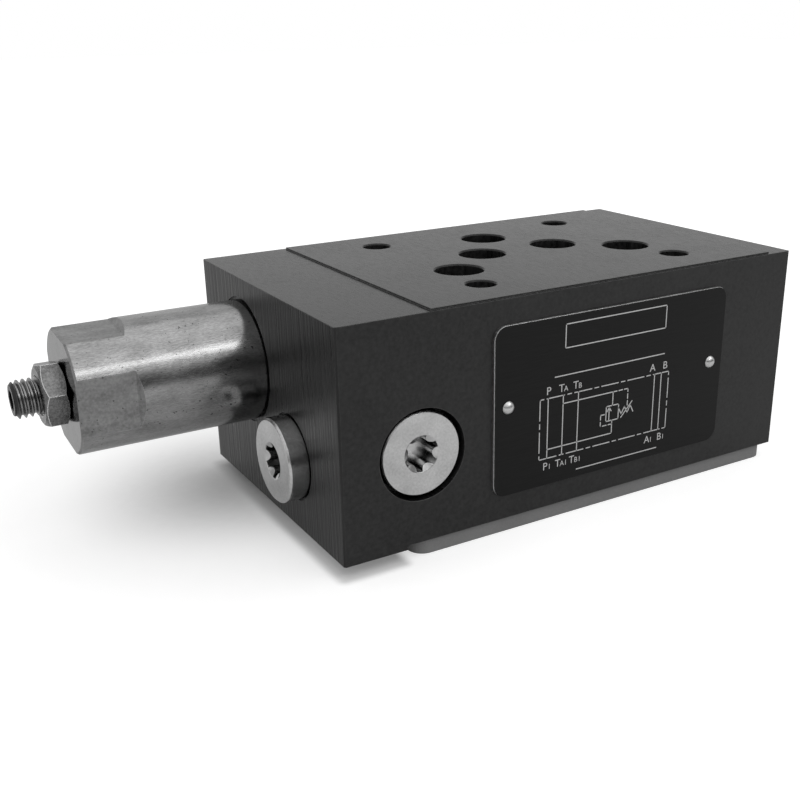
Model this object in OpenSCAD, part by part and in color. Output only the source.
// Sandwich relief valve for a stack of hydraulic valves, size 10 port pattern.
// Millimetres. Origin: centre of the bolt pattern on the lower ground face.
// +X runs to the plain end, +Y to the back, +Z up through the stack.

/* [Valve body] */
// Reach of the block from the bolt pattern's centre to the cartridge end
body_left = 67; // [66:0.5:75]
// Reach of the block from the bolt pattern's centre to the plain end
body_right = 52.5; // [48:0.5:60]
// Depth of the block, front to back
body_depth = 70; // [68:0.5:84]
// Height of the block over its ground pads
body_height = 49.3; // [47:0.1:60]
// Chamfer on the block's four upright edges
edge_break = 0.4; // [0.2:0.1:1]
// Reach of the ground pads towards the cartridge end
pad_left = 46; // [43:0.5:50]
// Reach of the ground pads towards the plain end
pad_right = 46; // [40:0.5:47]
// Height of the upper pad above the strips
pad_step = 0.4; // [0.2:0.1:1]
// Depth of the lower pad below the strips
lower_step = 0.3; // [0.2:0.1:0.6]
// Distance of the pads from the front and back faces
pad_inset = 0.6; // [0.3:0.1:1.2]
// Length of the rough foot at the cartridge end
foot_l = 14.5; // [10:0.5:16]
// Depth of the rough foot below the lower pad
foot_step = 0.65; // [0.3:0.05:1]

/* [Port pattern] */
// Bolt spacing along X
bolt_pitch_x = 54; // [50:0.5:58]
// Bolt spacing along Y
bolt_pitch_y = 46; // [42:0.5:50]
// Bolt hole diameter
bolt_d = 6.6; // [6:0.1:7]
// Diameter of the five ports
port_d = 11; // [9:0.1:11.4]
// Place of the two tank ports along X, either side of the centre
tank_x = 23.8; // [22:0.1:25]
// Place of the two tank ports along Y
tank_y = -9.5; // [-11:0.1:-8.5]
// Place of the two work ports along X, either side of the centre
work_x = 10.3; // [10:0.1:11]
// Place of the two work ports along Y
work_y = 1.6; // [0.5:0.1:2.2]
// Place of the pressure port along Y
press_y = 16.7; // [16:0.1:18]
// Chamfer on the hole mouths of the upper face
mouth_chamfer = 0.3; // [0.1:0.1:0.6]
// Cord of the port seals
port_seal_cord = 1.78; // [1.6:0.02:2]
// Depth of the seal seats in the lower face
seal_seat_depth = 1.4; // [1.2:0.1:1.6]
// Width of each seal seat around the port
seal_seat_rim = 2.5; // [2.2:0.1:2.7]

/* [Face cover] */
// Reach of the cover towards the plain end
cover_right = 51.2; // [46:0.2:52]
// Depth of the cover along Y
cover_w = 68.5; // [60:0.5:76]
// Thickness of the cover
cover_t = 3.2; // [2:0.1:4]
// Corner radius of the cover
cover_r = 3.5; // [2:0.5:8]
// Height of the two pegs that hold the cover in the tank ports
peg_h = 7; // [4:0.5:10]
// Wall of the pegs
peg_wall = 1.2; // [0.8:0.1:2]

/* [Nameplate] */
// Height of the plate
plate_h = 37.6; // [30:0.2:40]
// Height of the plate's lower edge above the lower ground face
plate_z = 5.9; // [3.9:0.2:8.9]
// Thickness of the plate
plate_t = 0.7; // [0.4:0.1:1.2]
// Corner radius of the plate
plate_r = 3; // [1:0.5:5]
// Distance between the two rivets
rivet_pitch = 56.8; // [50:0.2:58]
// Distance from each rivet to the plate's end
rivet_edge = 3.6; // [2.6:0.1:5]
// Height of the rivets above the plate's lower edge
rivet_rise = 19.9; // [10:0.1:25]
// Diameter of the rivet heads
rivet_head_d = 2.9; // [2.4:0.1:3.6]
// Height of the rivet heads
rivet_head_h = 0.9; // [0.5:0.1:1.4]
// Diameter of the rivet shanks
rivet_d = 1.8; // [1.2:0.1:2.2]
// Length of the rivet shanks in the block
rivet_l = 5; // [3:0.5:7]

/* [Plugs] */
// Diameter of the plug heads
plug_head_d = 18.3; // [16.6:0.1:19]
// Thickness of the plug heads
plug_head_t = 5; // [4:0.1:6]
// Chamfer on the plug heads
plug_chamfer = 0.4; // [0.2:0.1:1]
// Thread diameter of the plugs
plug_thread_d = 13; // [11:0.1:13.2]
// Thread length of the plugs
plug_thread_l = 10; // [7:0.5:10.5]
// Size of the six-lobe sockets, across opposite lobes
socket_d = 7.8; // [5:0.1:8.4]
// Depth of the six-lobe sockets
socket_depth = 4; // [3:0.1:4.5]
// Turn of the front plug's socket, in degrees
front_socket_turn = 37; // [0:1:59]
// Turn of the side plug's socket, in degrees
side_socket_turn = 30; // [0:1:59]
// Width of the sealing ring under a plug head
plug_seal_w = 1.4; // [1:0.1:1.6]
// Thickness of the sealing ring under a plug head
plug_seal_t = 1.3; // [1:0.1:1.8]
// Depth of the front plug's face below the block's front face
front_plug_sink = 0.5; // [0.2:0.1:1]
// Height of the front plug above the lower ground face
front_plug_z = 19.6; // [18.3:0.1:20.3]
// Width of the gap around the front plug's head
front_plug_gap = 0.75; // [0.4:0.05:1]
// Place of the side plug along Y
side_plug_y = -11.5; // [-13:0.1:-10]
// Height of the side plug above the lower ground face
side_plug_z = 15.1; // [14.3:0.1:16.3]
// Depth of the side plug's spot face
side_plug_spot = 0.6; // [0.3:0.1:1]
// Diameter of the drilled galleries
gallery_d = 8; // [6:0.1:8.6]

/* [Cartridge head] */
// Place of the cartridge axis along Y
cart_y = 12.2; // [11.6:0.1:13]
// Height of the cartridge axis above the lower ground face
cart_z = 30.3; // [28.3:0.1:31.3]
// Diameter of the head
head_d = 27; // [26:0.1:30]
// Reach of the head out of the block
head_reach = 39.7; // [38:0.1:45]
// Distance across opposite wrench flats
flats_af = 24; // [22:0.1:25.5]
// Length of the wrench flats
flats_l = 12; // [8:0.5:16]
// Lean of the wall at the inner end of the wrench flats, in degrees
flats_lean = 37; // [0:1:60]
// Turn of the head about its axis, in degrees
head_turn = 3; // [0:1:89]
// Diameter of the thread in the block
barrel_d = 22; // [21:0.1:23]
// Length from the head's seat to the thread's end
barrel_l = 12; // [9:0.1:12.5]
// Depth of the head's spot face in the block
spot_depth = 0.5; // [0.3:0.1:1]
// Gap around the head in its spot face
spot_gap = 0.7; // [0.3:0.1:1.2]
// Cord of the O-ring under the head
head_seal_cord = 2.4; // [2:0.1:2.6]

/* [Main stage] */
// Distance of the outlet holes from the block's end face
outlet_depth = 18.4; // [18:0.1:19.4]
// Diameter of the sleeve's nose
nose_d = 16; // [15:0.1:17]
// Length of the nose bore
nose_l = 10.4; // [8:0.1:11]
// Diameter of the passage from the nose to the pressure port
inlet_d = 7; // [5:0.1:7.4]
// Half length of the outlet chamber around the outlet holes
chamber_half = 5; // [4:0.1:5.2]
// Diameter of the outlet holes in the sleeve
outlet_hole_d = 3.5; // [2.5:0.1:4]
// Number of outlet holes in the sleeve
outlet_holes = 6; // [4:1:8]
// Diameter of the main spool
spool_d = 10; // [9:0.1:11]
// Length of the main spool
spool_l = 12; // [10:0.1:13]
// Bore of the main spool
spool_bore = 7; // [6:0.1:7.5]
// Thickness of the spool's nose wall
spool_nose = 3.5; // [3:0.1:5]
// Lap of the closed spool over the outlet holes
spool_lap = 0.35; // [0.2:0.05:0.8]
// Free space behind the spool
spool_room = 7.5; // [6.5:0.1:8]
// Diameter of the orifice jet
jet_d = 4; // [3:0.1:4.5]
// Bore of the orifice jet
jet_bore = 0.8; // [0.6:0.1:1.2]
// Wire of the main spring
main_wire = 0.8; // [0.6:0.05:1]
// Turns of the main spring
main_turns = 8; // [6:0.5:10]
// Cord of the nose seal
nose_seal_cord = 1.78; // [1.5:0.02:2]
// Width of the nose seal's backup ring
backup_w = 1.4; // [1:0.1:1.6]

/* [Pilot stage and adjustment] */
// Diameter of the pilot seat
pilot_seat_d = 13; // [12.4:0.1:14]
// Thickness of the pilot seat
pilot_seat_t = 6; // [4:0.1:7]
// Bore of the pilot seat
pilot_bore = 2.5; // [1.5:0.1:3]
// Half angle of the pilot cone, in degrees
pilot_cone = 25; // [18:1:32]
// Diameter of the pilot cone's base
pilot_base_d = 6; // [5:0.1:6.5]
// Diameter of the pilot cone's spring collar
pilot_collar_d = 9; // [8.6:0.1:9.6]
// Thickness of the pilot cone's spring collar
pilot_collar_t = 1.5; // [1:0.1:2]
// Bore of the pilot spring's chamber
chamber_d = 11; // [10.6:0.1:11.8]
// Length of the pilot spring at rest
pilot_spring_l = 10.75; // [10:0.25:11.5]
// Wire of the pilot spring
pilot_wire = 1.6; // [1.2:0.1:1.7]
// Turns of the pilot spring
pilot_turns = 4.5; // [4:0.5:5]
// Length of the adjusting piston
piston_l = 7; // [5.5:0.1:7.5]
// Free travel behind the adjusting piston
piston_back = 3.5; // [3:0.1:4.2]
// Cord of the piston's O-ring
piston_seal_cord = 1.5; // [1.2:0.1:1.6]
// Thread diameter of the adjusting screw
screw_d = 8; // [7:0.1:8.4]
// Reach of the adjusting screw past the lock nut
screw_reach = 5.3; // [4.5:0.1:7]
// Hexagon socket of the adjusting screw, across flats
screw_socket = 4; // [3:0.1:4.4]
// Depth of the hexagon socket
screw_socket_depth = 4.5; // [3:0.1:6]
// Lock nut size across flats
nut_af = 12.6; // [12:0.1:14.5]
// Lock nut thickness
nut_t = 5; // [4:0.1:6.5]
// Turn of the lock nut about its axis, in degrees
nut_turn = 18; // [0:1:59]

/* [Hidden] */
$fn = 64;

// Clearances: running fits, fixed fits and faces that all but touch
running = 0.03;
fixed = 0.05;
seat_gap = 0.02;
// Overshoot of a cut past the face that it opens
past = 1;
// Slack around a seal in its groove
seal_slack = 0.1;
// Small chamfer on the edges of turned pieces
small_chamfer = 0.4;
// Depth of a bore past the end of what it holds
bore_slack = 0.6;

// Port pattern
bolts = [for (sx = [-1, 1], sy = [-1, 1]) [sx * bolt_pitch_x / 2, sy * bolt_pitch_y / 2]];
tank_ports = [[-tank_x, tank_y], [tank_x, tank_y]];
ports = concat(tank_ports, [[-work_x, work_y], [work_x, work_y], [0, press_y]]);
seal_seat_d = port_d + 2 * seal_seat_rim;
port_seal_mean_r = seal_seat_d / 2 - port_seal_cord / 2 - seat_gap;
port_seal_z = seal_seat_depth - port_seal_cord / 2 - seat_gap;
// Pockets in the cover that keep it clear of the port seals
pocket_gap = 0.25;
pocket_depth = port_seal_cord - seal_seat_depth + pocket_gap;
pocket_d = seal_seat_d + 4 * pocket_gap;
peg_d = port_d - 4 * fixed;
cover_bolt_gap = 0.7;
cover_bolt_d = bolt_d + 2 * cover_bolt_gap;

// Share of the nut's width that its chamfers leave flat
nut_face_share = 0.92;

// Block faces
face_left = -body_left;
face_front = -body_depth / 2;
foot_end = face_left + foot_l;
strip_top = body_height - pad_step;

// The cover stops short of the foot
foot_gap = 2.3;
cover_left = -foot_end - foot_gap;

// The nameplate reaches past its rivets
plate_w = rivet_pitch + 2 * rivet_edge;

// Plugs: a shoulder bored for the head, then the thread bore
plug_bore_d = plug_thread_d + 2 * fixed;
plug_bore_l = plug_thread_l + bore_slack;
// Socket shape as shares of its size: the teeth's tips and the teeth's roundness
tooth_share = 0.36;
valley_share = 0.18;
// Conical lead-in of a socket: its half angle and its reach past the lobes
lead_angle = 60;
lead_past = 0.15;
lead_r = socket_d / 2 + lead_past;
plug_seal_r = plug_thread_d / 2 + 3 * seal_slack;
plug_seal_room = plug_seal_t + seal_slack;
front_plug_seat = face_front + front_plug_sink + plug_head_t;
front_plug_x = face_left + outlet_depth;
side_plug_seat = face_left + side_plug_spot;
side_spot_gap = 0.4;
side_spot_d = plug_head_d + 2 * side_spot_gap;

// Stations of the cartridge along X, from its end towards the pressure port
head_end = face_left - head_reach;
head_seat = face_left + spot_depth;
barrel_end = head_seat + barrel_l;
outlet_x = face_left + outlet_depth;
chamber_end = outlet_x + chamber_half;
nose_bore_end = chamber_end + nose_l;
nose_end = nose_bore_end - bore_slack;
spool_stop = outlet_x + outlet_hole_d / 2 + spool_lap;
spool_back = spool_stop - spool_l;
pilot_face = spool_back - spool_room;
pilot_edge = pilot_face - pilot_seat_t;

// Pilot cone, set a seat gap off the edge of its seat
cone_base = pilot_edge - (pilot_base_d - pilot_bore) / 2 / tan(pilot_cone) - seat_gap;
cone_tip = cone_base + pilot_base_d / 2 / tan(pilot_cone);
collar_back = cone_base - pilot_collar_t;
piston_front = collar_back - pilot_spring_l;
piston_rear = piston_front - piston_l;
chamber_back = piston_rear - piston_back;

// Lock nut and adjusting screw
nut_face = head_end - seat_gap;
nut_end = nut_face - nut_t;
screw_end = nut_end - screw_reach;
screw_tip = piston_rear - seat_gap;
screw_chamfer = screw_d / 10;
thread_bore_d = screw_d + 2 * fixed;

// Cartridge seals and spigot
undercut = 1.5;
undercut_d = barrel_d - 2 * undercut;
head_seal_room = head_seal_cord + 2 * seal_slack;
head_seal_bore = undercut_d + 2 * (head_seal_cord + seal_slack);
barrel_wall = 2.5;
barrel_chamfer = 1;
spigot_d = barrel_d - 2 * barrel_wall;
flange_d = barrel_d - 2 * barrel_chamfer;
flange_t = 2;
nose_groove_d = nose_d - 2 * nose_seal_cord;
nose_groove_l = nose_seal_cord + backup_w + 3 * seal_slack;
nose_land = 2.6;
nose_lead_in = 1;
nose_groove = nose_end - nose_land - nose_groove_l;
stop_rim = 0.7;
inlet_bore = spool_d - 2 * stop_rim;
drain_d = 1.6;
drain_r = (barrel_d + spigot_d) / 4;
drain_x = pilot_edge - 1.4 * drain_d;
piston_groove_d = chamber_d - 2 * piston_seal_cord - 2 * fixed;
piston_groove_l = piston_seal_cord + 3 * seal_slack;
// Stems that centre the pilot spring on its cone and on its piston
stem_gap = 0.6;
stem_d = pilot_collar_d - 2 * (pilot_wire + stem_gap);
cone_stem_l = 3;
piston_stem_l = 2.5;
// Dog point of the adjusting screw
point_l = 2;
point_share = 0.65;
point_r = point_share * screw_d / 2;

// A turned piece on the X axis, from an outline of [station, radius] points
module turned(outline) {
    rotate([0, 90, 0])
        rotate_extrude()
            polygon([for (p = outline) [p[1], p[0]]]);
}

// A round bar or drilling on the X axis between two stations
module bar_x(x0, x1, d) {
    translate([x0, 0, 0]) rotate([0, 90, 0]) cylinder(d = d, h = x1 - x0);
}

// A round drilling on the Y axis between two stations
module bar_y(y0, y1, d) {
    translate([0, y0, 0]) rotate([-90, 0, 0]) cylinder(d = d, h = y1 - y0);
}

// An O-ring on the X axis at a station
module ring_x(x, mean_r, cord) {
    translate([x, 0, 0])
        rotate([0, 90, 0])
            rotate_extrude()
                translate([mean_r, 0]) circle(d = cord, $fn = 32);
}

// A rectangle with round corners, centred
module round_rect(w, h, r) {
    square([w - 2 * r, h], center = true);
    square([w, h - 2 * r], center = true);
    for (sx = [-1, 1], sy = [-1, 1])
        translate([sx * (w / 2 - r), sy * (h / 2 - r)]) circle(r = r);
}

// A rectangle with chamfered corners, from its sides
module chamfered_rect(x0, x1, y0, y1, c) {
    polygon([
        [x0 + c, y0], [x1 - c, y0], [x1, y0 + c], [x1, y1 - c],
        [x1 - c, y1], [x0 + c, y1], [x0, y1 - c], [x0, y0 + c]
    ]);
}

// Places the children on the cartridge axis
module on_cartridge() {
    translate([0, cart_y, cart_z]) children();
}

// The six-lobe outline of a plug's socket
module six_lobe(d) {
    valley_r = valley_share * d;
    difference() {
        circle(d = d);
        for (k = [0:5])
            rotate(60 * k) translate([tooth_share * d + valley_r, 0]) circle(r = valley_r);
    }
}

// Places the children at each hole of a list
module at_each(places) {
    for (p = places) translate([p[0], p[1], 0]) children();
}

// A hole up through the block with a chamfered upper mouth
module through_hole(d) {
    translate([0, 0, -past]) cylinder(d = d, h = body_height + 2 * past);
    translate([0, 0, body_height - mouth_chamfer])
        cylinder(d1 = d, d2 = d + 2 * (mouth_chamfer + past), h = mouth_chamfer + past);
}

// The block's outside: strips at both ends, a rough foot, ground pads between
module block() {
    intersection() {
        translate([0, 0, -foot_step - past])
            linear_extrude(foot_step + body_height + past)
                chamfered_rect(face_left, body_right, face_front, -face_front, edge_break);
        translate([0, body_depth, 0])
            rotate([90, 0, 0])
                linear_extrude(2 * body_depth)
                    polygon([
                        [face_left - past, -foot_step], [foot_end, -foot_step],
                        [foot_end, lower_step], [body_right + past, lower_step],
                        [body_right + past, strip_top], [face_left - past, strip_top]
                    ]);
    }
    translate([-pad_left, face_front + pad_inset, 0])
        cube([pad_left + pad_right, body_depth - 2 * pad_inset, body_height]);
}

// The cartridge's cavity, from the spot face to the pressure port
module cavity() {
    mouth_r = head_seal_bore / 2;
    bore_r = barrel_d / 2 + fixed;
    nose_r = nose_d / 2 + running;
    turned([
        [face_left - past, 0], [face_left - past, head_d / 2 + spot_gap],
        [head_seat, head_d / 2 + spot_gap], [head_seat, mouth_r],
        [head_seat + head_seal_room, mouth_r], [head_seat + head_seal_room, bore_r],
        [chamber_end - (bore_r - nose_r), bore_r], [chamber_end, nose_r],
        [nose_bore_end, nose_r], [nose_bore_end, 0]
    ]);
    bar_x(nose_bore_end - past, 0, inlet_d);
}

// A plug's port in the block along X, open towards -X, its shoulder at 0
module plug_port(head_bore, depth) {
    bar_x(-depth - past, 0, head_bore);
    bar_x(-past, plug_bore_l, plug_bore_d);
}

module valve_body() {
    color([0.16, 0.16, 0.17])
        difference() {
            block();
            at_each(bolts) through_hole(bolt_d);
            at_each(ports) through_hole(port_d);
            at_each(ports)
                translate([0, 0, -past]) cylinder(d = seal_seat_d, h = seal_seat_depth + past);
            on_cartridge() cavity();
            // Outlet: down from the chamber to the front plug's drilling
            translate([front_plug_x, front_plug_seat, front_plug_z]) {
                rotate([0, 0, 90])
                    plug_port(plug_head_d + 2 * front_plug_gap, plug_head_t + front_plug_sink);
                bar_y(past, cart_y - front_plug_seat, gallery_d);
            }
            // Tank gallery: from the side plug to the near tank port
            translate([side_plug_seat, side_plug_y, side_plug_z]) {
                plug_port(side_spot_d, side_plug_spot);
                bar_x(past, -tank_x - side_plug_seat, gallery_d);
            }
            at_rivets() bar_y(-past, rivet_l + bore_slack, rivet_d + 2 * fixed);
        }
}

module face_cover() {
    color([0.47, 0.48, 0.49]) {
        difference() {
            translate([(cover_right - cover_left) / 2, 0, -cover_t])
                linear_extrude(cover_t) round_rect(cover_left + cover_right, cover_w, cover_r);
            at_each(bolts)
                translate([0, 0, -cover_t - past]) cylinder(d = cover_bolt_d, h = cover_t + 2 * past);
            at_each(ports)
                translate([0, 0, -pocket_depth]) cylinder(d = pocket_d, h = pocket_depth + past);
        }
        at_each(tank_ports)
            translate([0, 0, -pocket_depth])
                rotate_extrude()
                    polygon([
                        [peg_d / 2 - peg_wall, 0], [peg_d / 2, 0],
                        [peg_d / 2, peg_h + pocket_depth - peg_wall / 2],
                        [peg_d / 2 - peg_wall / 2, peg_h + pocket_depth],
                        [peg_d / 2 - peg_wall, peg_h + pocket_depth]
                    ]);
    }
}

module port_seals() {
    color([0.06, 0.06, 0.06])
        at_each(ports)
            translate([0, 0, port_seal_z])
                rotate_extrude()
                    translate([port_seal_mean_r, 0]) circle(d = port_seal_cord, $fn = 32);
}

// Places the children at the two rivets on the block's front face
module at_rivets() {
    for (sx = [-1, 1])
        translate([sx * rivet_pitch / 2, face_front, plate_z + rivet_rise]) children();
}

module nameplate() {
    color([0.09, 0.09, 0.1])
        difference() {
            translate([0, face_front, plate_z + plate_h / 2])
                rotate([90, 0, 0]) linear_extrude(plate_t) round_rect(plate_w, plate_h, plate_r);
            at_rivets() bar_y(-plate_t - past, past, rivet_d + 2 * fixed);
        }
}

module nameplate_rivets() {
    // Radius of the sphere whose cap is the rivet's head
    dome_r = (pow(rivet_head_d / 2, 2) + pow(rivet_head_h, 2)) / (2 * rivet_head_h);
    color([0.72, 0.72, 0.72])
        at_rivets() {
            intersection() {
                translate([0, -plate_t - rivet_head_h + dome_r, 0]) sphere(r = dome_r);
                bar_y(-plate_t - rivet_head_h - past, -plate_t, rivet_head_d + past);
            }
            bar_y(-plate_t, rivet_l, rivet_d);
        }
}

// A plug along X: head towards -X, its shoulder at 0, with room for its seal
module plug(socket_turn) {
    head_r = plug_head_d / 2;
    thread_r = plug_thread_d / 2;
    room_r = plug_seal_r + plug_seal_w + seal_slack;
    difference() {
        turned([
            [-plug_head_t, 0], [-plug_head_t, head_r - plug_chamfer],
            [-plug_head_t + plug_chamfer, head_r], [0, head_r], [0, room_r],
            [-plug_seal_room, room_r], [-plug_seal_room, thread_r],
            [plug_thread_l - plug_chamfer, thread_r],
            [plug_thread_l, thread_r - plug_chamfer], [plug_thread_l, 0]
        ]);
        translate([-plug_head_t - past, 0, 0])
            rotate([0, 90, 0])
                linear_extrude(socket_depth + past) rotate(socket_turn) six_lobe(socket_d);
        turned([
            [-plug_head_t - past, 0], [-plug_head_t - past, lead_r + past * tan(lead_angle)],
            [-plug_head_t + lead_r / tan(lead_angle), 0]
        ]);
    }
}

// The sealing ring under a plug's head
module plug_seal() {
    inner = plug_seal_r;
    outer = plug_seal_r + plug_seal_w;
    far = -plug_seal_room + seat_gap;
    turned([[far, inner], [far, outer], [far + plug_seal_t, outer], [far + plug_seal_t, inner]]);
}

// Places a plug or its seal at the front or at the side
module at_front_plug() {
    translate([front_plug_x, front_plug_seat, front_plug_z]) rotate([0, 0, 90]) children();
}

module at_side_plug() {
    translate([side_plug_seat, side_plug_y, side_plug_z]) children();
}

module front_plug() { color([0.78, 0.78, 0.78]) at_front_plug() plug(front_socket_turn); }

module front_plug_seal() { color([0.06, 0.06, 0.06]) at_front_plug() plug_seal(); }

module side_plug() { color([0.78, 0.78, 0.78]) at_side_plug() plug(side_socket_turn); }

module side_plug_seal() { color([0.06, 0.06, 0.06]) at_side_plug() plug_seal(); }

// The cut that leaves one wrench flat on top of the head, with a leaning end wall
module wrench_flat() {
    rise = flats_af / 2;
    flat_end = head_end + flats_l;
    translate([0, head_d, 0])
        rotate([90, 0, 0])
            linear_extrude(2 * head_d)
                polygon([
                    [head_end - past, rise], [flat_end, rise],
                    [flat_end + head_d * tan(flats_lean), rise + head_d],
                    [head_end - past, rise + head_d]
                ]);
}

module cartridge_body() {
    head_r = head_d / 2;
    undercut_end = head_seat + head_seal_room;
    color([0.6, 0.6, 0.6])
        on_cartridge()
            difference() {
                turned([
                    [head_end, thread_bore_d / 2 + small_chamfer], [head_end, head_r - small_chamfer],
                    [head_end + small_chamfer, head_r], [head_seat - small_chamfer, head_r],
                    [head_seat, head_r - small_chamfer], [head_seat, undercut_d / 2],
                    [undercut_end, undercut_d / 2], [undercut_end, barrel_d / 2],
                    [barrel_end - barrel_chamfer, barrel_d / 2], [barrel_end, barrel_d / 2 - barrel_chamfer],
                    [barrel_end, spigot_d / 2], [pilot_face, spigot_d / 2],
                    [pilot_face, pilot_seat_d / 2 + fixed],
                    [pilot_edge - seat_gap, pilot_seat_d / 2 + fixed],
                    [pilot_edge - seat_gap, chamber_d / 2], [chamber_back, chamber_d / 2],
                    [chamber_back, thread_bore_d / 2], [head_end + small_chamfer, thread_bore_d / 2]
                ]);
                for (k = [0:3]) rotate([head_turn + 90 * k, 0, 0]) wrench_flat();
                // Drain of the pilot stage, back to the outlet chamber
                translate([0, 0, -drain_r]) bar_x(drain_x, barrel_end + past, drain_d);
                translate([drain_x, 0, -drain_r - drain_d / 2]) cylinder(d = drain_d, h = drain_r);
            }
}

module cartridge_sleeve() {
    nose_r = nose_d / 2;
    spigot_r = spigot_d / 2 - fixed;
    flange_end = barrel_end + flange_t + seat_gap;
    color([0.66, 0.66, 0.66])
        on_cartridge()
            difference() {
                turned([
                    [pilot_face + seat_gap, spool_d / 2], [pilot_face + seat_gap, spigot_r],
                    [barrel_end + seat_gap, spigot_r], [barrel_end + seat_gap, flange_d / 2],
                    [flange_end, flange_d / 2], [flange_end, nose_r],
                    [nose_groove, nose_r], [nose_groove, nose_groove_d / 2],
                    [nose_groove + nose_groove_l, nose_groove_d / 2],
                    [nose_groove + nose_groove_l, nose_r],
                    [nose_end - nose_lead_in, nose_r], [nose_end, nose_r - nose_lead_in / 2],
                    [nose_end, inlet_bore / 2], [spool_stop, inlet_bore / 2], [spool_stop, spool_d / 2]
                ]);
                for (k = [0:outlet_holes - 1])
                    rotate([360 / outlet_holes * k, 0, 0])
                        translate([outlet_x, 0, 0]) cylinder(d = outlet_hole_d, h = nose_d);
                // Notch that lets the pilot drain pass the flange
                translate([0, 0, -drain_r])
                    bar_x(barrel_end - past, flange_end + past, 1.5 * drain_d);
            }
}

module cartridge_head_seal() {
    mean_r = (undercut_d + head_seal_bore) / 4;
    color([0.06, 0.06, 0.06])
        on_cartridge() ring_x(head_seat + head_seal_room / 2, mean_r, head_seal_cord);
}

module sleeve_nose_seal() {
    mean_r = (nose_groove_d + nose_d) / 4;
    color([0.06, 0.06, 0.06])
        on_cartridge()
            ring_x(
                nose_groove + nose_groove_l - nose_seal_cord / 2 - seal_slack,
                mean_r, nose_seal_cord - 2 * seat_gap
            );
}

module sleeve_backup_ring() {
    inner = nose_groove_d / 2 + seat_gap;
    outer = nose_d / 2;
    start = nose_groove + seal_slack;
    color([0.9, 0.9, 0.86])
        on_cartridge()
            turned([[start, inner], [start, outer], [start + backup_w, outer], [start + backup_w, inner]]);
}

module main_spool() {
    r = spool_d / 2 - running;
    front = spool_stop - seat_gap;
    bore_end = spool_stop - spool_nose;
    groove = small_chamfer;
    first_groove = spool_back + spool_l / 4;
    second_groove = spool_back + spool_l / 2;
    color([0.7, 0.7, 0.71])
        on_cartridge()
            turned([
                [spool_back, spool_bore / 2], [spool_back, r - groove], [spool_back + groove, r],
                [first_groove, r], [first_groove, r - groove],
                [first_groove + groove, r - groove], [first_groove + groove, r],
                [second_groove, r], [second_groove, r - groove],
                [second_groove + groove, r - groove], [second_groove + groove, r],
                [front, r], [front, jet_d / 2], [bore_end, jet_d / 2], [bore_end, spool_bore / 2]
            ]);
}

module spool_orifice() {
    front = spool_stop - small_chamfer;
    rear = spool_stop - spool_nose + small_chamfer;
    color([0.75, 0.62, 0.3])
        on_cartridge()
            turned([
                [rear, jet_bore / 2], [rear, jet_d / 2 - fixed], [front, jet_d / 2 - fixed],
                [front, jet_d / 4], [front - jet_d / 5, jet_bore / 2]
            ]);
}

// A coil spring along X between two seats, its end turns closed
module coil_spring(x0, x1, mean_r, wire, turns) {
    sides = 8;
    per_turn = 16;
    rings = round(turns * per_turn);
    first = x0 + wire / 2 + seat_gap;
    span = x1 - x0 - wire - 2 * seat_gap;
    end_rise = 1.06 * wire;
    mid_pitch = (span - 2 * end_rise) / (turns - 2);
    // Axial rise of the wire after t turns
    function rise(t) =
        t <= 1 ? end_rise * t
        : t >= turns - 1 ? span - end_rise * (turns - t)
        : end_rise + mid_pitch * (t - 1);
    function ring_point(i, j) =
        let (
            turn = i / per_turn,
            r = mean_r + wire / 2 * cos(360 / sides * j),
            x = first + rise(turn) + wire / 2 * sin(360 / sides * j)
        )
        [x, r * cos(360 * turn), r * sin(360 * turn)];
    points = [for (i = [0:rings], j = [0:sides - 1]) ring_point(i, j)];
    function at(i, j) = i * sides + j % sides;
    skin = [
        for (i = [0:rings - 1], j = [0:sides - 1])
            each [[at(i, j), at(i, j + 1), at(i + 1, j)], [at(i, j + 1), at(i + 1, j + 1), at(i + 1, j)]]
    ];
    ends = [
        [for (j = [sides - 1:-1:0]) at(0, j)],
        [for (j = [0:sides - 1]) at(rings, j)]
    ];
    polyhedron(points, concat(skin, ends));
}

module main_spring() {
    mean_r = (spool_bore - main_wire) / 2 - 2 * seal_slack;
    color([0.55, 0.56, 0.58])
        on_cartridge() coil_spring(pilot_face, spool_stop - spool_nose, mean_r, main_wire, main_turns);
}

module pilot_seat() {
    r = pilot_seat_d / 2;
    color([0.62, 0.62, 0.63])
        on_cartridge()
            turned([
                [pilot_edge, pilot_bore / 2], [pilot_edge, r - small_chamfer],
                [pilot_edge + small_chamfer, r], [pilot_face - small_chamfer, r],
                [pilot_face, r - small_chamfer], [pilot_face, pilot_bore / 2]
            ]);
}

module pilot_poppet() {
    stem_end = collar_back - cone_stem_l;
    color([0.68, 0.68, 0.7])
        on_cartridge()
            turned([
                [stem_end, 0], [stem_end, stem_d / 2 - small_chamfer],
                [stem_end + small_chamfer, stem_d / 2],
                [collar_back, stem_d / 2], [collar_back, pilot_collar_d / 2],
                [cone_base, pilot_collar_d / 2], [cone_base, pilot_base_d / 2], [cone_tip, 0]
            ]);
}

module pilot_spring() {
    mean_r = (pilot_collar_d - pilot_wire) / 2;
    color([0.5, 0.51, 0.53])
        on_cartridge() coil_spring(piston_front, collar_back, mean_r, pilot_wire, pilot_turns);
}

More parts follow.
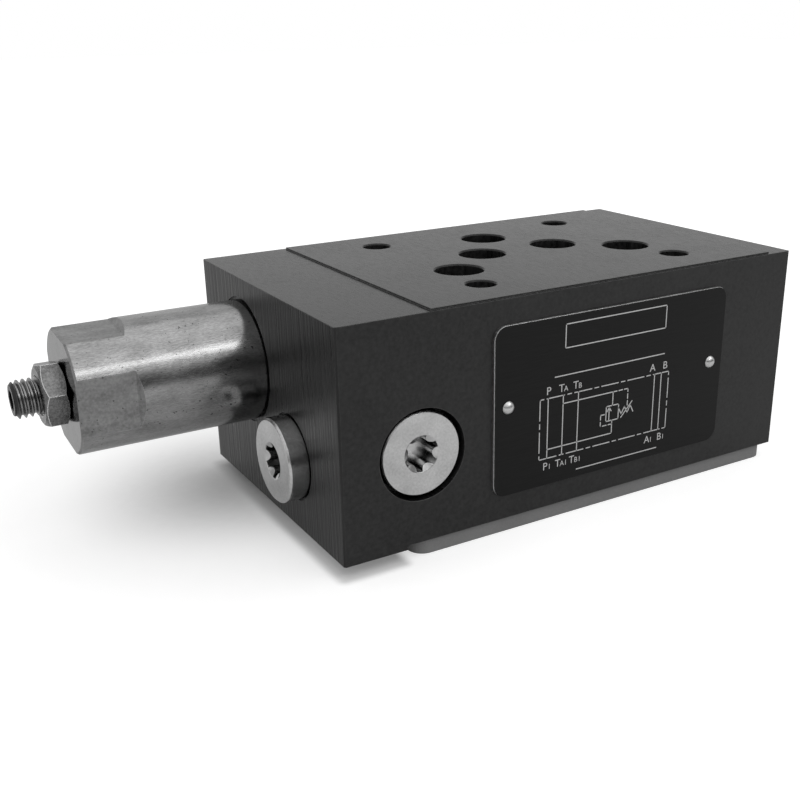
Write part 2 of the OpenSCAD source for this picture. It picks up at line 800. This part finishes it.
module adjusting_piston() {
    r = chamber_d / 2 - running;
    groove = piston_rear + (piston_l - piston_groove_l) / 2;
    stem_end = piston_front + piston_stem_l;
    color([0.64, 0.64, 0.66])
        on_cartridge()
            turned([
                [piston_rear, 0], [piston_rear, r - small_chamfer], [piston_rear + small_chamfer, r],
                [groove, r], [groove, piston_groove_d / 2],
                [groove + piston_groove_l, piston_groove_d / 2], [groove + piston_groove_l, r],
                [piston_front, r], [piston_front, stem_d / 2],
                [stem_end - small_chamfer, stem_d / 2], [stem_end, stem_d / 2 - small_chamfer],
                [stem_end, 0]
            ]);
}

module piston_seal() {
    mean_r = (piston_groove_d + chamber_d) / 4;
    color([0.06, 0.06, 0.06])
        on_cartridge() ring_x(piston_rear + piston_l / 2, mean_r, piston_seal_cord);
}

module adjusting_screw() {
    r = screw_d / 2;
    color([0.3, 0.3, 0.31])
        on_cartridge()
            difference() {
                turned([
                    [screw_end, 0], [screw_end, r - screw_chamfer], [screw_end + screw_chamfer, r],
                    [screw_tip - point_l - (r - point_r), r], [screw_tip - point_l, point_r],
                    [screw_tip, point_r], [screw_tip, 0]
                ]);
                translate([screw_end - past, 0, 0])
                    rotate([0, 90, 0])
                        cylinder(d = screw_socket / cos(30), h = screw_socket_depth + past, $fn = 6);
            }
}

module lock_nut() {
    corner_r = nut_af / 2 / cos(30);
    flat_r = nut_face_share * nut_af / 2;
    // The 30 degree chamfers run on past the corners
    cone_r = corner_r + past;
    cone_l = (cone_r - flat_r) * tan(30);
    bore_r = thread_bore_d / 2;
    mouth_r = bore_r + small_chamfer + past;
    color([0.55, 0.55, 0.55])
        on_cartridge()
            difference() {
                intersection() {
                    translate([nut_end, 0, 0])
                        rotate([nut_turn, 0, 0])
                            rotate([0, 90, 0]) cylinder(r = corner_r, h = nut_t, $fn = 6);
                    turned([
                        [nut_end, 0], [nut_end, flat_r], [nut_end + cone_l, cone_r],
                        [nut_face - cone_l, cone_r], [nut_face, flat_r], [nut_face, 0]
                    ]);
                }
                turned([
                    [nut_end - past, 0], [nut_end - past, mouth_r],
                    [nut_end + small_chamfer, bore_r], [nut_face - small_chamfer, bore_r],
                    [nut_face + past, mouth_r], [nut_face + past, 0]
                ]);
            }
}

valve_body();
face_cover();
port_seals();
nameplate();
nameplate_rivets();
front_plug();
front_plug_seal();
side_plug();
side_plug_seal();
cartridge_body();
cartridge_sleeve();
cartridge_head_seal();
sleeve_nose_seal();
sleeve_backup_ring();
main_spool();
spool_orifice();
main_spring();
pilot_seat();
pilot_poppet();
pilot_spring();
adjusting_piston();
piston_seal();
adjusting_screw();
lock_nut();
